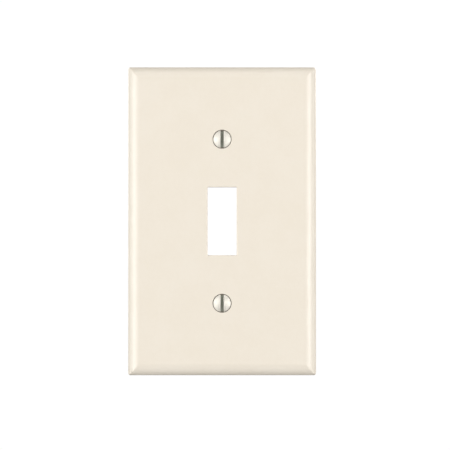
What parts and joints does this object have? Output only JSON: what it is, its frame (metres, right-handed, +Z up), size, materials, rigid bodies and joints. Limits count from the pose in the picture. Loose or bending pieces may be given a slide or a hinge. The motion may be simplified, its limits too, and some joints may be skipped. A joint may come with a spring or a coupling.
{
  "type": "toggle switch wall plate",
  "caption": "Moulded light almond wall plate for a toggle switch: rounded front edges, an upright lever opening, and slotted oval-head screws kept in by retaining washers.",
  "frame": {"origin": "the middle of the rim's back face, on the wall's surface", "axes": "+Z up along the plate's height, +X to the right seen from the room, +Y into the wall, so the face looks along -Y"},
  "size_m": [0.0698, 0.0134, 0.1142],
  "materials": {
    "almond_plastic": "moulded, satin to semi-gloss, light almond",
    "plated_screw": "bright nickel-plated steel, lightly marked",
    "retainer_nylon": "natural nylon"
  },
  "bodies": {
    "plate": {"wall_plate": "almond_plastic"},
    "upper_washer": {"upper_retainer": "retainer_nylon"},
    "upper_fixing": {"upper_screw": "plated_screw"},
    "lower_washer": {"lower_retainer": "retainer_nylon"},
    "lower_fixing": {"lower_screw": "plated_screw"}
  },
  "joints": [
    {"name": "upper_screw_travel", "type": "slide", "parent": "plate", "child": "upper_washer", "axis": [0, -1, 0], "range_m": [0, 0.0009]},
    {"name": "upper_screw_turn", "type": "hinge", "parent": "upper_washer", "child": "upper_fixing", "pos_m": [0, -0.0013, 0.03016], "axis": [0, -1, 0], "continuous": true},
    {"name": "lower_screw_travel", "type": "slide", "parent": "plate", "child": "lower_washer", "axis": [0, -1, 0], "range_m": [0, 0.0009]},
    {"name": "lower_screw_turn", "type": "hinge", "parent": "lower_washer", "child": "lower_fixing", "pos_m": [0, -0.0013, -0.03016], "axis": [0, -1, 0], "continuous": true}
  ]
}
